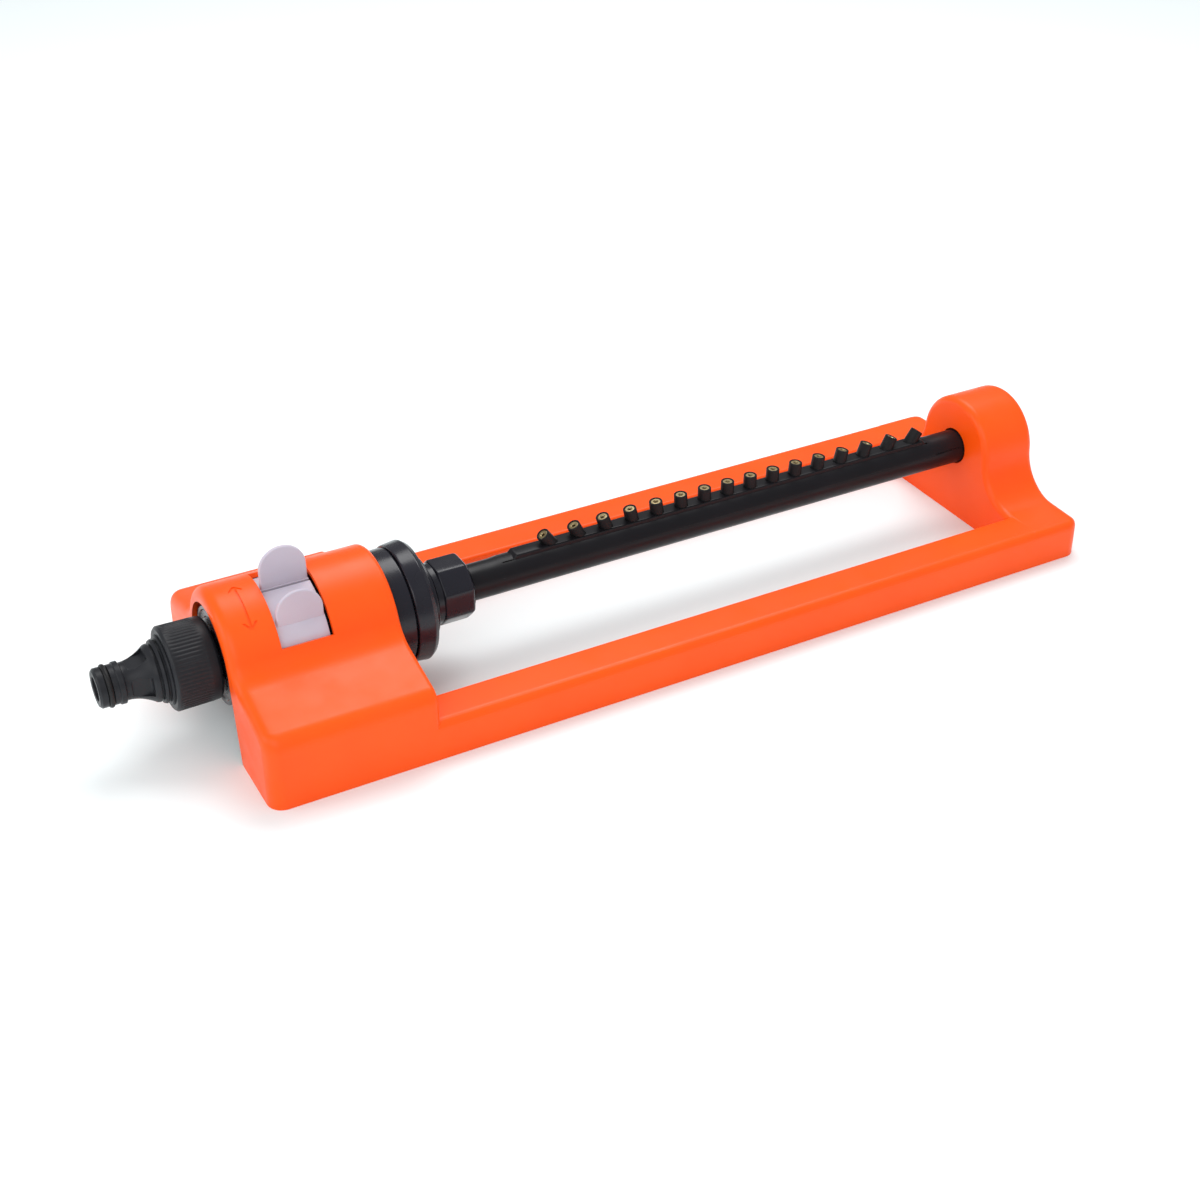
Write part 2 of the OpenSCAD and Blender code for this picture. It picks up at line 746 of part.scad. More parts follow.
// Finger grip: an upright plate across the tab with a round top, standing on the
// tab's plate at angle a
module grip(a, h) {
    w = slot_w - 2.2;
    y = -tab_out * cos(a);
    z = tab_out * sin(a) - 1;
    translate([slot_x + slot_w / 2, y + grip_t / 2, z]) rotate([90, 0, 0]) {
        translate([-w / 2, 0, 0]) cube([w, h + 1 - w / 2, grip_t]);
        intersection() {
            translate([0, h + 1 - w / 2, 0]) cylinder(h = grip_t, r = w / 2);
            translate([-w / 2, 0, 0]) cube([w, h + 2, grip_t]);
        }
    }
}

module range_tab(a0, a1, band_x, grip_a, h) {
    difference() {
        union() {
            sector(slot_x + 0.4, slot_x1 - 1, tab_in, tab_out, a0, a1);
            grip(grip_a, h);
        }
        bar(slot_x - 5, slot_x1 + 5, tab_in);
    }
    sector(band_x, band_x + band_w, band_out - 0.5, tab_in + 0.3, a0 + 1, a1 - 1);
    pipe(band_x, band_x + band_w, band_out, band_in);
}

module front_range_tab()
    color([0.8, 0.78, 0.82]) on_axis()
        range_tab(front_a0, front_a1, slot_x1 - 6, front_grip_a, grip_h);

module rear_range_tab()
    color([0.8, 0.78, 0.82]) on_axis()
        range_tab(rear_a0, rear_a1, slot_x + 1.4, rear_grip_a, rear_grip_h);

// ---- reversing gear ----

module reversing_lever()
    color([0.85, 0.85, 0.8]) on_axis()
        difference() {
            union() {
                translate([lever_x, -lever_half, lever_z - 2.5]) cube([lever_t, 2 * lever_half, 5]);
                bar(lever_x, lever_x + lever_t, 3.4, z = lever_z);
            }
            bar(lever_x - over, lever_x + lever_t + over, lever_pin_r + run_gap, z = lever_z);
        }

module lever_pin()
    color("silver") on_axis() bar(jet_x, turbine_x - 0.6, lever_pin_r, z = lever_z);

// Torsion spring on the pin, drawn as its closed coils
module lever_spring()
    color("silver") on_axis() translate([0, 0, lever_z])
        turned(concat(
            [[lever_pin_r + 0.15, spring_x + coil_n * coil_d], [lever_pin_r + 0.15, spring_x]],
            [for (k = [0:coil_n - 1], i = [0:6])
                let (a = -90 + 180 * i / 6, x = spring_x + coil_d * (k + 0.5))
                [lever_pin_r + 0.55 + coil_d / 2 * cos(a), x + coil_d / 2 * sin(a)]]));

frame_shell();
motor_straps();
strap_screws();
motor_case();
motor_cap();
cap_seal();
outlet_bush();
shaft_seal();
jet_plate();
centre_shaft();
counter_shaft();
gear_plate();
turbine_wheel();
counter_gear();
output_gear();
output_shaft();
union_nut();
tube_washer();
spray_tube();
spray_nozzles();
nozzle_jets();
tube_plug();
plug_seal();
post_bush();
swivel_nut();
hose_nose();
nose_seal();
inlet_washer();
filter_screen();
front_range_tab();
rear_range_tab();
reversing_lever();
lever_pin();
lever_spring();
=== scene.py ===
# Oscillating lawn sprinkler: the looks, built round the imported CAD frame.
# Lengths inside the helpers are millimetres, and MM turns them into metres.
import json
import math

import bmesh
import bpy
from mathutils import Matrix, Vector

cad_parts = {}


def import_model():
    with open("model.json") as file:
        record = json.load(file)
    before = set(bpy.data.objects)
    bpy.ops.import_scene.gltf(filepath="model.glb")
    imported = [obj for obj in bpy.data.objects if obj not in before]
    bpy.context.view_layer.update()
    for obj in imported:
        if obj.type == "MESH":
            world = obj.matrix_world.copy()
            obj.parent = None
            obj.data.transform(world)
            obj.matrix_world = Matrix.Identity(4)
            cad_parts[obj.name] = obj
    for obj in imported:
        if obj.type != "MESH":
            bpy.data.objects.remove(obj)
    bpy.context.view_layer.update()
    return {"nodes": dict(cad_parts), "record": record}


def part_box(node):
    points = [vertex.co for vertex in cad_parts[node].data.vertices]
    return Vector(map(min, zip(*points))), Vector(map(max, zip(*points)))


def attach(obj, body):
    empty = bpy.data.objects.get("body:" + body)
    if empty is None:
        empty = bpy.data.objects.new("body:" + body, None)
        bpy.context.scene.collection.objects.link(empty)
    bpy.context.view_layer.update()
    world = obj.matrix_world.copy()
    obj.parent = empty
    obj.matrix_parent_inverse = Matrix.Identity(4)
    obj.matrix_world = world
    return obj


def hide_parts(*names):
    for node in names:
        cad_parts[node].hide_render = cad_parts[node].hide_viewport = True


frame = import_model()
MM = 0.001

# ---- driving sizes in mm, read from the frame where it gives them ----


def span(node):
    """First and last x of a CAD node and its largest radius about the tube's axis, in mm."""
    low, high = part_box(node)
    return low[0] / MM, high[0] / MM, (high[1] - low[1]) / 2 / MM


joint_pos = {j["name"]: j["pos_m"] for j in frame["record"]["behaviour"]["joints"]}
AXIS_Z = joint_pos["tube_swing"][2] / MM
XL, XR, HALF_W = span("frame_shell")
FRAME_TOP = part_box("frame_shell")[1][2] / MM
HOUSING_L = 72
POST_L = 29
WALL = 2
RAIL_W = 19.5
RAIL_H = 17.7
DRAFT = 0.023
CORNER_R = 6.8
HOUSE_X = XL + HOUSING_L
POST_X = XR - POST_L
HOUSING = dict(dome=FRAME_TOP - AXIS_Z, fillet=14, slope=14, edge=8, edge_z=25)
POST = dict(dome=24, fillet=20, slope=1.5, edge=4, edge_z=13.7)
STRAP_REACH = 11.5
CASE_R = span("motor_straps")[2] - STRAP_REACH
NECK_R = 22.4
SLOT_X0 = XL + 22.2
SLOT_X1 = SLOT_X0 + 21.8
SLOT_A0 = 24.5
SLOT_A1 = 110


# ---- mesh helpers ----


def finish_piece(obj, body, slot, material, *nodes):
    """Places a finished piece on its body, with its material, in front of the CAD nodes it stands for,
    which it hides; the slot argument is not used.
    """
    obj.data.materials.clear()
    obj.data.materials.append(material)
    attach(obj, body)
    if nodes:
        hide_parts(*nodes)
    return obj


def new_object(name, verts, faces):
    mesh = bpy.data.meshes.new(name)
    mesh.from_pydata([Vector(v) * MM for v in verts], [], faces)
    mesh.validate()
    obj = bpy.data.objects.new(name, mesh)
    bpy.context.scene.collection.objects.link(obj)
    outward(obj)
    return obj


def outward(obj):
    bm = bmesh.new()
    bm.from_mesh(obj.data)
    bmesh.ops.recalc_face_normals(bm, faces=bm.faces)
    bm.to_mesh(obj.data)
    bm.free()


def loft(name, rings):
    """Closed solid through rings of equal length, capped at both ends."""
    n = len(rings[0])
    verts = [p for ring in rings for p in ring]
    faces = [
        (r * n + i, r * n + (i + 1) % n, (r + 1) * n + (i + 1) % n, (r + 1) * n + i)
        for r in range(len(rings) - 1)
        for i in range(n)
    ]
    faces.append(tuple(range(n)))
    faces.append(tuple(range((len(rings) - 1) * n, len(rings) * n)))
    return new_object(name, verts, faces)


def rounded(points, steps=5):
    """Outline of (u, v, radius) corners, each turned into an arc of that radius."""
    out = []
    n = len(points)
    for i, (u, v, radius) in enumerate(points):
        here = Vector((u, v))
        back = Vector(points[i - 1][:2]) - here
        ahead = Vector(points[(i + 1) % n][:2]) - here
        if radius <= 0:
            out.append((u, v))
            continue
        half = back.angle(ahead) / 2
        reach = min(radius / math.tan(half), back.length * 0.49, ahead.length * 0.49)
        radius = reach * math.tan(half)
        centre = here + (back.normalized() + ahead.normalized()).normalized() * radius / math.sin(half)
        start = here + back.normalized() * reach - centre
        end = here + ahead.normalized() * reach - centre
        turn = start.angle_signed(end)
        for k in range(steps + 1):
            p = start.copy()
            p.rotate(Matrix.Rotation(-turn * k / steps, 2))
            out.append(tuple(centre + p))
    return out


def turned(name, points, segments=96, shape=None, steps=5):
    """Body of revolution about the tube's axis. points are (x, radius, rounding) corners of a closed
    outline; shape(x, radius, angle) may change a point's radius."""
    outline = rounded(points, steps)
    n = len(outline)
    verts = []
    for s in range(segments):
        a = 2 * math.pi * s / segments
        for x, r in outline:
            rr = shape(x, r, a) if shape else r
            verts.append((x, rr * math.cos(a), AXIS_Z + rr * math.sin(a)))
    faces = [
        (s * n + i, s * n + (i + 1) % n, (s + 1) % segments * n + (i + 1) % n, (s + 1) % segments * n + i)
        for s in range(segments)
        for i in range(n)
    ]
    return new_object(name, verts, faces)


def prism(name, outline, place, depth):
    """Solid between an outline and the same outline moved by depth; place maps (u, v, w) to a point."""
    n = len(outline)
    verts = [place(u, v, 0) for u, v in outline] + [place(u, v, depth) for u, v in outline]
    faces = [(i, (i + 1) % n, n + (i + 1) % n, n + i) for i in range(n)]
    faces += [tuple(range(n)), tuple(range(n, 2 * n))]
    return new_object(name, verts, faces)


def block(name, low, high):
    """Upright box between two corners."""
    (x0, y0, z0), (x1, y1, z1) = low, high
    outline = [(x0, y0), (x1, y0), (x1, y1), (x0, y1)]
    return prism(name, outline, lambda u, v, w: (u, v, z0 + w), z1 - z0)


def boolean(obj, tool, operation):
    """Applies one boolean and deletes the tool."""
    mod = obj.modifiers.new(operation, "BOOLEAN")
    mod.operation = operation
    mod.solver = "MANIFOLD"
    mod.object = tool
    bake(obj)
    bpy.data.objects.remove(tool)
    return obj


def bake(obj):
    """Applies the object's modifiers to its mesh."""
    graph = bpy.context.evaluated_depsgraph_get()
    graph.update()
    mesh = bpy.data.meshes.new_from_object(obj.evaluated_get(graph))
    obj.modifiers.clear()
    old = obj.data
    obj.data = mesh
    bpy.data.meshes.remove(old)
    return obj


def tidy(obj, merge=0.02):
    """Merges the slivers that booleans leave."""
    bm = bmesh.new()
    bm.from_mesh(obj.data)
    bmesh.ops.remove_doubles(bm, verts=bm.verts, dist=merge * MM)
    bmesh.ops.dissolve_degenerate(bm, edges=bm.edges, dist=merge * MM)
    bm.to_mesh(obj.data)
    bm.free()
    return obj


def soften(obj, width, segments=3, angle=32):
    """Rounds the sharp edges with a bevel."""
    mod = obj.modifiers.new("edge", "BEVEL")
    mod.width = width * MM
    mod.segments = segments
    mod.limit_method = "ANGLE"
    mod.angle_limit = math.radians(angle)
    mod.miter_outer = "MITER_ARC"
    mod.use_clamp_overlap = True
    bake(obj)
    return obj


def smooth(obj, angle=38):
    """Smooth shading that keeps flats flat."""
    obj.data.shade_smooth()
    obj.data.set_sharp_from_angle(angle=math.radians(angle))
    mod = obj.modifiers.new("normals", "WEIGHTED_NORMAL")
    mod.keep_sharp = True
    mod.weight = 60
    bake(obj)
    return obj


def copied(obj, name, matrices):
    """One mesh object holding a copy of obj for each matrix; obj is deleted."""
    bm = bmesh.new()
    for matrix in matrices:
        part = obj.data.copy()
        part.transform(matrix)
        bm.from_mesh(part)
        bpy.data.meshes.remove(part)
    mesh = bpy.data.meshes.new(name)
    bm.to_mesh(mesh)
    bm.free()
    out = bpy.data.objects.new(name, mesh)
    bpy.context.scene.collection.objects.link(out)
    bpy.data.objects.remove(obj)
    return out


# ---- materials ----


def node_tree(name):
    mat = bpy.data.materials.new(name)
    mat.use_nodes = True
    return mat, mat.node_tree, mat.node_tree.nodes["Principled BSDF"]


def noise(tree, scale, detail=4.0, stretch=(1, 1, 1)):
    coords = tree.nodes.new("ShaderNodeTexCoord")
    mapping = tree.nodes.new("ShaderNodeMapping")
    mapping.inputs["Scale"].default_value = stretch
    tex = tree.nodes.new("ShaderNodeTexNoise")
    tex.inputs["Scale"].default_value = scale
    tex.inputs["Detail"].default_value = detail
    tree.links.new(coords.outputs["Object"], mapping.inputs["Vector"])
    tree.links.new(mapping.outputs["Vector"], tex.inputs["Vector"])
    return tex.outputs["Fac"]


def ranged(tree, value, low, high, start=0.3, end=0.7):
    """Maps a texture value onto low to high."""
    node = tree.nodes.new("ShaderNodeMapRange")
    node.inputs["From Min"].default_value = start
    node.inputs["From Max"].default_value = end
    node.inputs["To Min"].default_value = low
    node.inputs["To Max"].default_value = high
    tree.links.new(value, node.inputs["Value"])
    return node.outputs["Result"]


def colour_mix(tree, fac, a, b):
    node = tree.nodes.new("ShaderNodeMix")
    node.data_type = "RGBA"
    node.inputs["A"].default_value = (*a, 1)
    node.inputs["B"].default_value = (*b, 1)
    tree.links.new(fac, node.inputs["Factor"])
    return node.outputs["Result"]


def bumps(tree, shader, layers):
    """Chains bump layers of (value, distance in mm, strength)."""
    last = None
    for value, distance, strength in layers:
        node = tree.nodes.new("ShaderNodeBump")
        node.inputs["Distance"].default_value = distance * MM
        node.inputs["Strength"].default_value = strength
        tree.links.new(value, node.inputs["Height"])
        if last:
            tree.links.new(last, node.inputs["Normal"])
        last = node.outputs["Normal"]
    tree.links.new(last, shader.inputs["Normal"])


def plastic(name, colour, deeper, rough, grain, grain_mm, coat=0.0, glow=0.0, shine=0.35):
    """Moulded plastic: slightly uneven colour, a fine mould texture and faint flow marks."""
    mat, tree, shader = node_tree(name)
    shader.inputs["IOR"].default_value = 1.48
    shader.inputs["Specular IOR Level"].default_value = shine
    shader.inputs["Coat Weight"].default_value = coat
    shader.inputs["Coat Roughness"].default_value = 0.18
    if glow:
        shader.inputs["Subsurface Weight"].default_value = glow
        shader.inputs["Subsurface Radius"].default_value = (0.004, 0.0015, 0.0008)
        shader.inputs["Subsurface Scale"].default_value = 0.5
    patches = ranged(tree, noise(tree, 22, 3), 0, 1)
    tree.links.new(colour_mix(tree, patches, colour, deeper), shader.inputs["Base Color"])
    tree.links.new(ranged(tree, noise(tree, 90, 5), rough - 0.05, rough + 0.06), shader.inputs["Roughness"])
    fine = noise(tree, grain, 2)
    flow = noise(tree, 35, 2, (0.35, 1, 1))
    bumps(tree, shader, [(flow, 0.25, 0.12), (fine, grain_mm, 0.5)])
    return mat


def metal(name, colour, rough, stretch):
    mat, tree, shader = node_tree(name)
    shader.inputs["Metallic"].default_value = 1.0
    dark = tuple(c * 0.72 for c in colour)
    tone = ranged(tree, noise(tree, 700, 4), 0, 1)
    tree.links.new(colour_mix(tree, tone, colour, dark), shader.inputs["Base Color"])
    lines = noise(tree, 1500, 3, stretch)
    tree.links.new(ranged(tree, lines, rough - 0.08, rough + 0.12), shader.inputs["Roughness"])
    bumps(tree, shader, [(lines, 0.03, 0.3)])
    return mat


ORANGE = plastic("orange_plastic", (1.0, 0.096, 0.003), (0.96, 0.085, 0.002), 0.36, 2600, 0.015, glow=0.05,
                 shine=0.28)
BLACK = plastic("black_plastic", (0.018, 0.018, 0.026), (0.013, 0.013, 0.019), 0.26, 2400, 0.012, coat=0.1)
TUBE_BLACK = plastic("tube_plastic", (0.011, 0.010, 0.013), (0.007, 0.007, 0.009), 0.36, 1800, 0.02,
                     shine=0.25)
DARK = plastic("dark_plastic", (0.017, 0.018, 0.022), (0.012, 0.013, 0.016), 0.42, 1900, 0.02, shine=0.3)
GREY = plastic("grey_plastic", (0.56, 0.515, 0.60), (0.47, 0.43, 0.51), 0.45, 1400, 0.05, glow=0.08)
ACETAL = plastic("white_acetal", (0.80, 0.79, 0.74), (0.72, 0.71, 0.66), 0.35, 2200, 0.02, glow=0.1)
SEAL = plastic("seal_rubber", (0.012, 0.012, 0.013), (0.008, 0.008, 0.009), 0.55, 3000, 0.02)
NOZZLE = plastic("nozzle_rubber", (0.010, 0.010, 0.012), (0.007, 0.007, 0.008), 0.5, 2600, 0.02, shine=0.25)
BRASS = metal("brass_jets", (0.50, 0.40, 0.22), 0.42, (1, 1, 1))
STEEL = metal("steel", (0.62, 0.62, 0.64), 0.28, (0.05, 1, 1))

SLOT_MATERIAL = {
    "orange_plastic": ORANGE,
    "black_plastic": BLACK,
    "dark_plastic": DARK,
    "grey_plastic": GREY,
    "white_acetal": ACETAL,
    "seal_rubber": SEAL,
    "nozzle_rubber": NOZZLE,
    "brass_jets": BRASS,
    "steel": STEEL,
}

# ---- frame shell ----


def arc(cy, cz, radius, a0, a1, n):
    """Points and outward or inward normals of an arc in the (y, z) plane, angles in degrees."""
    out = []
    for i in range(n + 1):
        a = math.radians(a0 + (a1 - a0) * i / n)
        out.append((cy + radius * math.cos(a), cz + radius * math.sin(a), math.cos(a), math.sin(a)))
    return out


def arch_profile(dome, fillet, slope, edge, edge_z):
    """Right half of an arched section as (y, z, normal y, normal z), from the ground to the top."""
    s = math.radians(slope)
    ay, az = HALF_W - edge, edge_z
    rise = (math.sin(s) * ay + math.cos(s) * (az - AXIS_Z) + edge + fillet) / (dome + fillet)
    up = math.asin(rise) - s
    by = (dome + fillet) * math.cos(up)
    bz = AXIS_Z + (dome + fillet) * math.sin(up)
    wall = [(HALF_W, az * i / 6, 1, 0) for i in range(6)]
    outer = arc(ay, az, edge, 0, 90 - slope, 12)
    bend = arc(by, bz, fillet, 270 - slope, 180 + math.degrees(up), 16)
    hollow = [(y, z, -ny, -nz) for y, z, ny, nz in bend]
    crown = arc(0, AXIS_Z, dome, math.degrees(up), 90, 22)
    return wall + outer + hollow + crown[1:]


def arch_ring(profile, x, top_inset, wall_inset, lean=0.0, low=0.0):
    """One closed ring of the arch at x. The inset pulls it in at a rounded end; the wall drafts."""
    right = []
    for y, z, ny, nz in profile:
        upright = max(0.0, min(1.0, (y - 0.7 * HALF_W) / (0.3 * HALF_W))) * ny * ny
        outer = max(0.0, min(1.0, (y - 0.5 * HALF_W) / (0.35 * HALF_W)))
        yy = y - ny * top_inset - (wall_inset - top_inset) * outer - DRAFT * z * upright
        zz = max(z - nz * top_inset, 0)
        right.append((x + lean * zz, max(yy, 0.0), zz if z > 0 else low))
    left = [(px, -py, pz) for px, py, pz in reversed(right[:-1])]
    return right + left


def round_inset(d, radius):
    """How far a rounded end of that radius is pulled in, d from the end."""
    if d >= radius:
        return 0.0
    return radius - math.sqrt(radius * radius - (radius - d) ** 2)


def end_steps(radius, n=9):
    return [radius * (1 - math.cos(math.pi / 2 * i / n)) for i in range(n + 1)]


def arch_solid(name, shape, x0, x1, left, right, wall=0.0):
    """Arched block from x0 to x1; left and right are (top radius, wall radius, lean) of each end.
    With a wall it is the space inside, that much further in and open below."""
    profile = arch_profile(**shape)
    low = -1 if wall else 0
    rings = []
    for x, way, (top_r, wall_r, lean) in ((x0 + wall, 1, left), (x1 - wall, -1, right)):
        top_r, wall_r = max(top_r - wall, 0.2), max(wall_r - wall, 0.2)
        end = [arch_ring(profile, x + way * d, wall + round_inset(d, top_r), wall + round_inset(d, wall_r),
                         way * lean, low) for d in end_steps(max(top_r, wall_r))]
        rings += end if way > 0 else reversed(end)
    return loft(name, rings)


def rail_solid(side):
    """One side rail, with drafted walls and rounded top edges."""
    lean = DRAFT * RAIL_H
    outline = rounded([
        (HALF_W - RAIL_W, 0, 0),
        (HALF_W, 0, 0),
        (HALF_W - lean, RAIL_H, 4.0),
        (HALF_W - RAIL_W + lean, RAIL_H, 1.6),
    ], 6)
    x0, x1 = HOUSE_X - 6, POST_X + 6
    return prism("rail", outline, lambda u, v, w: (x0 + w, side * u, v), x1 - x0)


def sector(name, x0, x1, r0, r1, a0, a1, n=36):
    """Part of a ring about the tube's axis; angles run from -Y towards +Z."""
    def at(r, a):
        a = math.radians(180 - a)
        return (r * math.cos(a), AXIS_Z + r * math.sin(a))
    outer = [at(r1, a0 + (a1 - a0) * i / n) for i in range(n + 1)]
    inner = [at(r0, a1 + (a0 - a1) * i / n) for i in range(n + 1)]
    return prism(name, outer + inner, lambda u, v, w: (x0 + w, u, v), x1 - x0)


def round_bar(name, x0, x1, radius, y=0.0, z=0.0, segments=72):
    ring = [(y + radius * math.cos(2 * math.pi * i / segments),
             AXIS_Z + z + radius * math.sin(2 * math.pi * i / segments)) for i in range(segments)]
    return prism(name, ring, lambda u, v, w: (x0 + w, u, v), x1 - x0)


def inlet_arch():
    radius, splay = CASE_R + 1.6, 6
    outline = [(radius + splay, -1)]
    outline += [(radius * math.cos(math.pi * i / 36), AXIS_Z + radius * math.sin(math.pi * i / 36))
                for i in range(37)]
    outline.append((-radius - splay, -1))
    return prism("arch", outline, lambda u, v, w: (XL - 1 + w, u, v), WALL + 2)


def range_mark():
    """Shallow curved groove with an arrow head at each end, beside the slot."""
    dome = HOUSING["dome"]
    x = SLOT_X0 - 9
    a0, a1 = 46, 92
    groove = sector("mark", x - 0.5, x + 0.5, dome - 0.5, dome + 2, a0, a1)
    for a, way in ((a0, 1), (a1, -1)):
        for side in (-1, 1):
            n = 6
            def place(u, v, w, a=a, way=way, side=side):
                angle = math.radians(180 - (a + way * (u * 3.2) / math.radians(1) / dome))
                r = dome - 0.5 + w
                return (x + side * u * 2.6 + v, r * math.cos(angle), AXIS_Z + r * math.sin(angle))
            outline = [(i / n, -0.55) for i in range(n + 1)] + [(1 - i / n, 0.55) for i in range(n + 1)]
            boolean(groove, prism("head", outline, place, 2.5), "UNION")
    return groove


def saddle(x):
    """Plate and two screw posts that hang from the housing and seat the motor case."""
    plate = block("plate", (x - 2.5, -31.8, AXIS_Z), (x + 2.5, 31.8, AXIS_Z + 30))
    for side in (-1, 1):
        n = 24
        ring = [(x + 3.6 * math.cos(2 * math.pi * i / n),
                 side * 28.2 + 3.6 * math.sin(2 * math.pi * i / n)) for i in range(n)]
        boolean(plate, prism("post", ring, lambda u, v, w: (u, v, AXIS_Z + w), 30), "UNION")
    boolean(plate, round_bar("seat", x - 9, x + 9, CASE_R + 0.1), "DIFFERENCE")
    profile = arch_profile(**HOUSING)
    inside = loft("inside", [arch_ring(profile, px, 1, 1) for px in (XL + 1, HOUSE_X - 1)])
    return boolean(plate, inside, "INTERSECT")


def frame_shell():
    housing_ends = (4.2, CORNER_R, 0.012), (2.6, 2.6, 0)
    post_ends = (3.2, 3.2, 0), (3.9, CORNER_R, 0)
    shell = arch_solid("frame_body", HOUSING, XL, HOUSE_X, *housing_ends)
    post = arch_solid("post", POST, POST_X, XR, *post_ends)
    boolean(shell, post, "UNION")
    for side in (-1, 1):
        boolean(shell, rail_solid(side), "UNION")
    boolean(shell, arch_solid("hollow", HOUSING, XL, HOUSE_X, *housing_ends, WALL), "DIFFERENCE")
    boolean(shell, arch_solid("hollow", POST, POST_X, XR, *post_ends, WALL), "DIFFERENCE")
    for side in (-1, 1):
        low, high = sorted((side * (HALF_W - RAIL_W + WALL + 0.3), side * (HALF_W - WALL - 0.6)))
        channel = block("channel", (XL + 12, low, -1), (XR - 12, high, RAIL_H - WALL))
        boolean(shell, channel, "DIFFERENCE")
    boolean(shell, inlet_arch(), "DIFFERENCE")
    dome = HOUSING["dome"]
    boolean(shell, sector("slot", SLOT_X0, SLOT_X1, dome - 4, dome + 5, SLOT_A0, SLOT_A1), "DIFFERENCE")
    boolean(shell, round_bar("hole", HOUSE_X - 3, HOUSE_X + 2, 25), "DIFFERENCE")
    boolean(shell, round_bar("hole", POST_X - 1, POST_X + 3, 8.7), "DIFFERENCE")
    boolean(shell, range_mark(), "DIFFERENCE")
    for x in (XL + 11, HOUSE_X - 19):
        boolean(shell, saddle(x), "UNION")
    bush_x0, _, bush_r = span("post_bush")
    boss = round_bar("boss", bush_x0, XR - 1.5, bush_r + 2.5)
    boolean(boss, round_bar("bore", bush_x0 - 1, XR - 3, bush_r), "DIFFERENCE")
    boolean(boss, block("rib", (bush_x0 + 4, -1, AXIS_Z + bush_r + 1), (XR - 4, 1, AXIS_Z + 22.5)), "UNION")
    boolean(shell, boss, "UNION")
    tidy(shell)
    soften(shell, 0.45, 2)
    smooth(shell)
    return finish_piece(shell, "frame", "orange_plastic", ORANGE, "frame_shell")


frame_shell()

# ---- motor ----


def motor_case():
    x0, x1, ring_r = span("motor_case")
    face_x = XL + 2
    ring_x, ring_end = HOUSE_X - 3, HOUSE_X + 8
    bore_r, spigot_r, inner_r = 7, 10, 18.6
    case = turned("motor_body", [
        (x0, bore_r, 0.4), (x0, 13.1, 0.4), (x0 + 2.7, 13.1, 0.4), (x0 + 2.7, spigot_r, 0),
        (face_x, spigot_r, 0.5), (face_x, 15.5, 0.3), (face_x + 0.8, 16.2, 0.3), (face_x + 0.8, 18.6, 0.3),
        (face_x, 19.2, 0.3), (face_x, CASE_R, 0.8), (ring_x, CASE_R, 0), (ring_x, ring_r - 0.3, 0.4),
        (ring_end, ring_r, 0.9), (ring_end, NECK_R, 0), (x1, NECK_R, 0.3), (x1, inner_r, 0.3),
        (face_x + 2.4, inner_r, 0.5), (face_x + 2.4, bore_r, 0),
    ], 160)
    smooth(case, 30)
    finish_piece(case, "frame", "black_plastic", BLACK, "motor_case")


def motor_cap():
    x0, x1, cap_r = span("motor_cap")
    neck_r = NECK_R + 0.05
    cap = turned("motor_cover", [
        (x0, neck_r, 0.2), (x0, cap_r - 0.9, 0.5), (x0 + 0.9, cap_r - 0.7, 0),
        (x1 - 2.2, cap_r, 1.2), (x1, cap_r - 1.6, 0.9),
        (x1, 20.6, 0.3), (x1 - 0.5, 20.1, 0.3), (x1 - 0.5, 19.0, 0.2), (x1, 18.6, 0.2),
        (x1, 11.05, 0), (x1 - 2.2, 11.05, 0), (x1 - 2.2, neck_r, 0.3),
    ], 144)
    smooth(cap, 30)
    finish_piece(cap, "frame", "black_plastic", BLACK, "motor_cap")


def outlet_bush():
    x0, x1, flange_r = span("outlet_bush")
    face = span("motor_cap")[1]
    bush = turned("outlet_collar", [
        (x1, 6.95, 0.3), (x1, 14.8, 0.4), (x1 - 0.7, 15.4, 0.3), (x1 - 0.7, flange_r - 0.2, 0.7),
        (face, flange_r, 0.2), (face, 11, 0), (x0, 11, 0.3), (x0, 9, 0.2), (x0 + 2.2, 9, 0),
        (x0 + 2.2, 6.95, 0),
    ], 128)
    smooth(bush, 30)
    finish_piece(bush, "frame", "black_plastic", BLACK, "outlet_bush")


motor_case()
motor_cap()
outlet_bush()

# ---- spray tube ----


def union_nut():
    x0, x1, _ = span("union_nut")
    grip_x = x0 + 2.6
    lobes = 8
    flat = 13.6
    corner = 14.6

    def octagon(x, r, a):
        """Turns the grip's round section into eight flats with rounded corners."""
        if x < grip_x or r < 11.5:
            return r
        step = 2 * math.pi / lobes
        off = (a + step / 2) % step - step / 2
        reach = flat / math.cos(off)
        side = corner - 0.35 * math.log(1 + math.exp((corner - reach) / 0.35))
        return r * side / corner

    nut = turned("union_grip", [
        (x0, 12.3, 0.2), (x0, 13.0, 0.4), (grip_x, 13.2, 0.3), (grip_x + 0.05, corner, 0.8),
        (x1 - 1.2, corner - 0.1, 1.9), (x1, 11.6, 0.8), (x1, 8.1, 0.4),
        (x1 - 3.2, 8.1, 0), (x1 - 3.2, 12.3, 0),
    ], 8 * 24, octagon)
    smooth(nut, 26)
    finish_piece(nut, "tube", "black_plastic", BLACK, "union_nut")


ROW_X = (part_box("spray_nozzles")[0][0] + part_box("spray_nozzles")[1][0]) / 2 / MM
ROW_HALF = 90
ROW_SPREAD = 6.1
TUBE_R = 8.0
RIB_Y = 3.5
RIB_Z = TUBE_R + 1.5
NOZZLE_H = 15.2


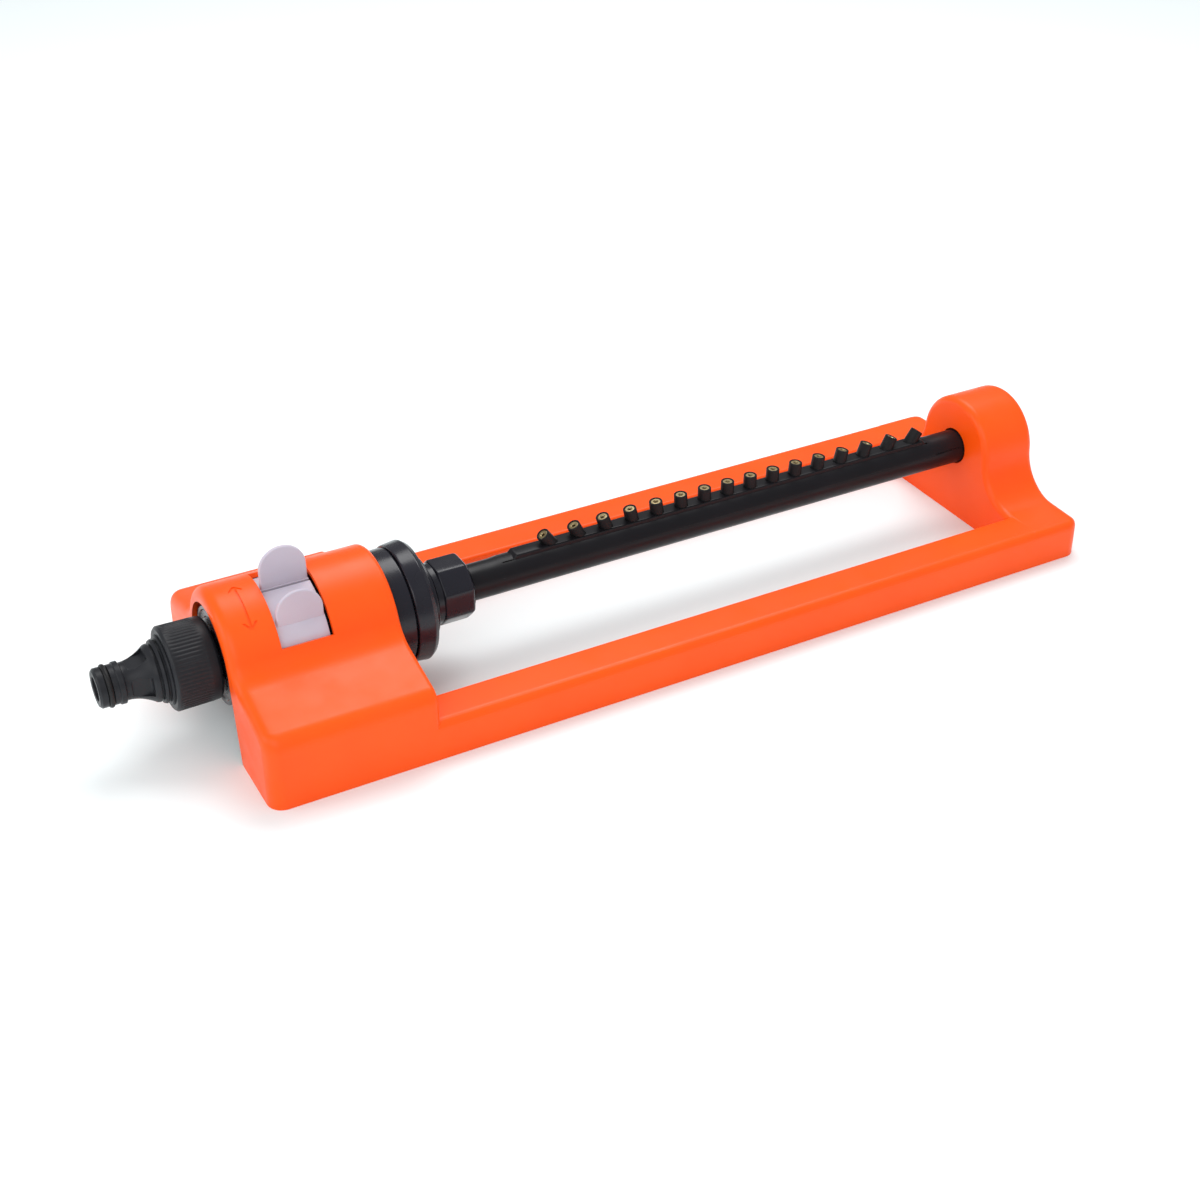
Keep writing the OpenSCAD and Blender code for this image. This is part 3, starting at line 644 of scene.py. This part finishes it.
def nozzle_places():
    """A matrix for each nozzle, which turns +X at the origin into the nozzle's own axis."""
    count, lean_max = 16, 35.0
    out = []
    for i in range(count):
        off = (2 * i - count + 1) / (count - 1)
        lean = math.radians(lean_max) * off * abs(off)
        foot = Vector((ROW_X + off * (ROW_HALF + ROW_SPREAD * off * off), 0, AXIS_Z + RIB_Z)) * MM
        out.append((Matrix.Translation(foot) @ Matrix.Rotation(lean, 4, "Y")
                    @ Matrix.Translation((0, 0, -RIB_Z * MM)) @ Matrix.Rotation(-math.pi / 2, 4, "Y")))
    return out


def spray_tube():
    x0, x1, flange_r = span("spray_tube")
    rib_x0, rib_x1 = ROW_X - ROW_HALF - 26, ROW_X + ROW_HALF + ROW_SPREAD + 5.5
    bore_r = TUBE_R - 1.6
    tube = turned("tube_body", [
        (x0, bore_r, 0.3), (x0, flange_r, 0.4), (x0 + 2.2, flange_r, 0.4), (x0 + 2.2, TUBE_R, 0.3),
        (x1, TUBE_R, 0.3), (x1, bore_r, 0.2),
    ], 96)
    n = 40
    a0 = 18.8
    rings = []
    for x, r in ((rib_x0 - 9, TUBE_R - 0.1), (rib_x0 - 4, TUBE_R + 0.35), (rib_x1 + 2, TUBE_R + 0.35),
                 (rib_x1 + 6, TUBE_R - 0.1)):
        ring = [(x, r * math.cos(math.radians(a0 + (180 - 2 * a0) * i / n)),
                 AXIS_Z + r * math.sin(math.radians(a0 + (180 - 2 * a0) * i / n))) for i in range(n + 1)]
        rings.append(ring + [(x, -6.8, AXIS_Z + 2.5), (x, 6.8, AXIS_Z + 2.5)])
    boolean(tube, loft("saddle", rings), "UNION")
    rib_plan = [(rib_x0, 6.5), (rib_x0 + 2.6, RIB_Z), (rib_x1 - 0.6, RIB_Z), (rib_x1 + 1.6, 6.5)]
    rib = prism("rib", rib_plan, lambda u, v, w: (u, w - RIB_Y, AXIS_Z + v), 2 * RIB_Y)
    soften(rib, 0.7, 3)
    boolean(tube, rib, "UNION")
    for matrix in nozzle_places():
        hole = round_bar("hole", 5.2, 13, 3.12, z=-AXIS_Z, segments=32)
        hole.data.transform(matrix)
        boolean(tube, hole, "DIFFERENCE")
    tidy(tube)
    soften(tube, 0.3, 2)
    smooth(tube)
    return finish_piece(tube, "tube", "black_plastic", TUBE_BLACK, "spray_tube")


def on_origin(name, points, segments):
    """A turned piece about X through the origin."""
    piece = turned(name, points, segments)
    piece.data.transform(Matrix.Translation((0, 0, -AXIS_Z * MM)))
    return piece


def nozzles():
    matrices = nozzle_places()
    height = NOZZLE_H
    foot = 6.8
    sleeve = on_origin("sleeve", [
        (foot, 2.2, 0), (foot, 3.08, 0), (height - 0.1, 3.0, 0.35), (height - 0.1, 2.28, 0.15),
        (height - 0.5, 2.22, 0),
    ], 40)
    jet = on_origin("jet", [
        (foot + 0.4, 0.6, 0), (foot + 0.4, 2.2, 0), (height - 0.35, 2.2, 0.25), (height - 0.35, 1.15, 0.1),
        (height - 0.75, 0.75, 0.1), (height - 1.2, 0.6, 0),
    ], 36)
    sleeves = copied(sleeve, "nozzle_sleeves", matrices)
    jets = copied(jet, "nozzle_tips", matrices)
    smooth(sleeves, 32)
    smooth(jets, 32)
    finish_piece(sleeves, "tube", "nozzle_rubber", NOZZLE, "spray_nozzles")
    finish_piece(jets, "tube", "brass_jets", BRASS, "nozzle_jets")


union_nut()
spray_tube()
nozzles()

# ---- hose inlet ----


def swivel_nut():
    x0, x1, nut_r = span("swivel_nut")
    ribs = 64
    rib_x0, rib_x1 = x0 + 1.6, x1 - 4.6

    def ribbed(x, r, a):
        """Fine grip ribs that fade out at both ends."""
        if r < nut_r - 1.5:
            return r
        fade = min(1, max(0, (x - rib_x0) / 0.6)) * min(1, max(0, (rib_x1 - x) / 1.6))
        return r - 0.3 * fade * (0.5 - 0.5 * math.cos(ribs * a)) ** 1.4

    taper = [(rib_x0 + (rib_x1 - rib_x0) * i / 8, nut_r - 0.35 - 0.2 * i / 8, 0) for i in range(9)]
    nut = turned("swivel_grip", [
        (x0, 13.45, 0.2), (x0, nut_r - 1.3, 0.5), (x0 + 1.0, nut_r - 0.35, 0.3), *taper,
        (rib_x1 + 0.6, nut_r - 0.55, 0), (x1 - 1.0, nut_r - 0.8, 0.8), (x1, nut_r - 1.8, 0.5),
        (x1, 10.3, 0.2), (x1 - 3.9, 10.3, 0), (x1 - 3.9, 13.45, 0),
    ], ribs * 8, ribbed, 3)
    smooth(nut, 40)
    finish_piece(nut, "inlet", "dark_plastic", DARK, "swivel_nut")


def hose_nose():
    x0, x1, _ = span("hose_nose")
    nut_x0 = span("swivel_nut")[0]
    r = 8.15
    neck = [(x0 + 11 + 10.8 * i / 14, r - 0.45 + 4.0 * (i / 14) ** 2.0, 0) for i in range(15)]
    nose = turned("nose_body", [
        (x1, 5, 0), (x0 + 0.1, 5, 0.4), (x0, 7.2, 0.4), (x0 + 0.9, r, 0.3),
        (x0 + 3.35, r, 0.2), (x0 + 3.35, r - 1.5, 0), (x0 + 5.85, r - 1.5, 0), (x0 + 5.85, r, 0.2),
        (x0 + 7.9, r, 0), (x0 + 8.3, r + 0.5, 0.3), (x0 + 10.3, r + 0.55, 0.4), (x0 + 10.7, r - 0.4, 0.2),
        *neck,
        (x0 + 23.3, r + 3.9, 0.4), (x0 + 23.3, r + 3.0, 0), (x0 + 24.2, r + 3.0, 0),
        (x0 + 24.2, r + 4.6, 0.3), (x0 + 25.4, r + 5.1, 0.3), (x0 + 25.9, r + 4.4, 0),
        (x0 + 26.6, r + 4.4, 0), (x0 + 26.6, r + 6.0, 0.3), (nut_x0 - 0.02, r + 6.4, 0.2),
        (nut_x0 - 0.02, 13.35, 0), (x1, 13.35, 0),
    ], 96)
    pocket_w = 8.8
    for quarter in range(4):
        angle = math.radians(90 * quarter)

        def place(u, v, w, angle=angle):
            side = w - pocket_w / 2
            return (u, v * math.cos(angle) - side * math.sin(angle),
                    AXIS_Z + v * math.sin(angle) + side * math.cos(angle))

        outline = rounded([
            (x0 + 12.6, 7.0, 0.6), (x0 + 20.6, 7.6, 1.2), (x0 + 20.9, 15, 0), (x0 + 12.6, 15, 0),
        ])
        boolean(nose, prism("pocket", outline, place, pocket_w), "DIFFERENCE")
    tidy(nose, 0.01)
    smooth(nose, 34)
    finish_piece(nose, "inlet", "dark_plastic", DARK, "hose_nose")


swivel_nut()
hose_nose()

# ---- range tabs ----


def range_tab(name, node, a0, a1, band_x, grip_a, height, body):
    """Curved plate that fills the slot, an upright half-moon grip, and a band round the case."""
    out_r = HOUSING["dome"] - WALL - 0.3
    in_r = out_r - 1.7
    plate = sector("plate", SLOT_X0 + 0.4, SLOT_X1 - 1.0, in_r, out_r, a0, a1, 40)
    width = SLOT_X1 - SLOT_X0 - 2.2
    middle = (SLOT_X0 + SLOT_X1) / 2
    crown = height - width / 2
    foot = -1.4
    n = 32
    outline = [(middle - width / 2, foot), (middle + width / 2, foot)]
    for i in range(n + 1):
        a = math.pi * i / n
        outline.append((middle + width / 2 * math.cos(a), crown + width / 2 * math.sin(a)))
    angle = math.radians(grip_a)
    y = -out_r * math.cos(angle)
    z = AXIS_Z + out_r * math.sin(angle)
    thick = 2.2

    def place(u, v, w):
        """The grip thins a little towards its top."""
        taper = 1 - 0.25 * max(0, v) / height
        return (u, y + (w - thick / 2) * taper, z + v)

    grip = prism("grip", outline, place, thick)
    soften(grip, 0.6, 4)
    boolean(plate, grip, "UNION")
    boolean(plate, round_bar("case", SLOT_X0 - 5, SLOT_X1 + 5, in_r - 0.001, segments=96), "DIFFERENCE")
    band_end, band_r = band_x + 3.5, CASE_R + 0.3
    web = sector("web", band_x, band_end, in_r - 0.8, in_r + 0.3, a0 + 1, a1 - 1)
    boolean(plate, web, "UNION")
    band = turned("band", [
        (band_x, band_r, 0), (band_x, in_r - 0.3, 0.3), (band_end, in_r - 0.3, 0.3), (band_end, band_r, 0),
    ], 96)
    boolean(plate, band, "UNION")
    plate.name = name
    tidy(plate)
    soften(plate, 0.3, 2, 40)
    smooth(plate)
    finish_piece(plate, body, "grey_plastic", GREY, node)


range_tab("front_tab_grip", "front_range_tab", 18, 80, SLOT_X1 - 6, 46, 13, "front_tab")
range_tab("rear_tab_grip", "rear_range_tab", 82.5, 126, SLOT_X0 + 1.4, 86, 17, "rear_tab")

# ---- carried-over CAD pieces ----


def dress_cad_nodes():
    """Every CAD node that still shows gets its slot's procedural material."""
    slots = {s["node"]: s["material_slot"] for s in frame["record"]["subparts"]}
    for name, obj in frame["nodes"].items():
        if obj.hide_render:
            continue
        material = SLOT_MATERIAL[slots[name]]
        if not obj.material_slots:
            obj.data.materials.append(material)
        for s in obj.material_slots:
            s.material = material


dress_cad_nodes()

# ---- camera, floor and light ----


def aim(obj, place, target):
    obj.location = place
    obj.rotation_mode = "QUATERNION"
    obj.rotation_quaternion = (Vector(target) - Vector(place)).to_track_quat("-Z", "Y")


def camera():
    data = bpy.data.cameras.new("camera")
    data.lens = 53.77
    data.sensor_width = 36
    data.clip_start = 0.05
    data.clip_end = 20
    cam = bpy.data.objects.new("camera", data)
    bpy.context.scene.collection.objects.link(cam)
    azimuth, elevation, distance = math.radians(-28.58), math.radians(33.15), 0.8014
    target = Vector((0.0004, 0, 0.0067))
    back = Vector((math.sin(azimuth) * math.cos(elevation), -math.cos(azimuth) * math.cos(elevation),
                   math.sin(elevation)))
    aim(cam, target + back * distance, target)
    bpy.context.scene.camera = cam


def area_light(name, place, target, size, power, colour=(1, 1, 1)):
    data = bpy.data.lights.new(name, "AREA")
    data.shape = "RECTANGLE"
    data.size, data.size_y = size
    data.energy = power
    data.color = colour
    lamp = bpy.data.objects.new(name, data)
    bpy.context.scene.collection.objects.link(lamp)
    aim(lamp, place, target)


def floor():
    size = 4.0
    mesh = bpy.data.meshes.new("floor")
    corners = [(-size, -size, 0), (size, -size, 0), (size, size, 0), (-size, size, 0)]
    mesh.from_pydata(corners, [], [(0, 1, 2, 3)])
    obj = bpy.data.objects.new("floor", mesh)
    bpy.context.scene.collection.objects.link(obj)
    mat, _, shader = node_tree("floor_paper")
    shader.inputs["Base Color"].default_value = (0.86, 0.92, 0.93, 1)
    shader.inputs["Roughness"].default_value = 0.9
    shader.inputs["Specular IOR Level"].default_value = 0.1
    mesh.materials.append(mat)


def world():
    w = bpy.data.worlds.new("studio")
    w.use_nodes = True
    tree = w.node_tree
    back = tree.nodes["Background"]
    back.inputs["Color"].default_value = (1, 1, 1, 1)
    # reflections see a dimmer studio, so the lamps stand out in them
    studio, in_gloss = 0.78, 0.25
    path = tree.nodes.new("ShaderNodeLightPath")
    strength = ranged(tree, path.outputs["Is Glossy Ray"], studio, in_gloss, 0, 1)
    tree.links.new(strength, back.inputs["Strength"])
    bpy.context.scene.world = w
    bpy.context.scene.view_settings.view_transform = "Standard"


camera()
floor()
world()
area_light("key", (0.35, 0.45, 1.1), (0, 0, 0), (0.9, 0.6), 8.5)
area_light("fill", (-0.7, -0.9, 0.9), (0, 0, 0), (1.0, 0.8), 5)
area_light("left", (-1.1, 0.1, 0.5), (-0.15, 0, 0.03), (0.7, 0.4), 2.6)
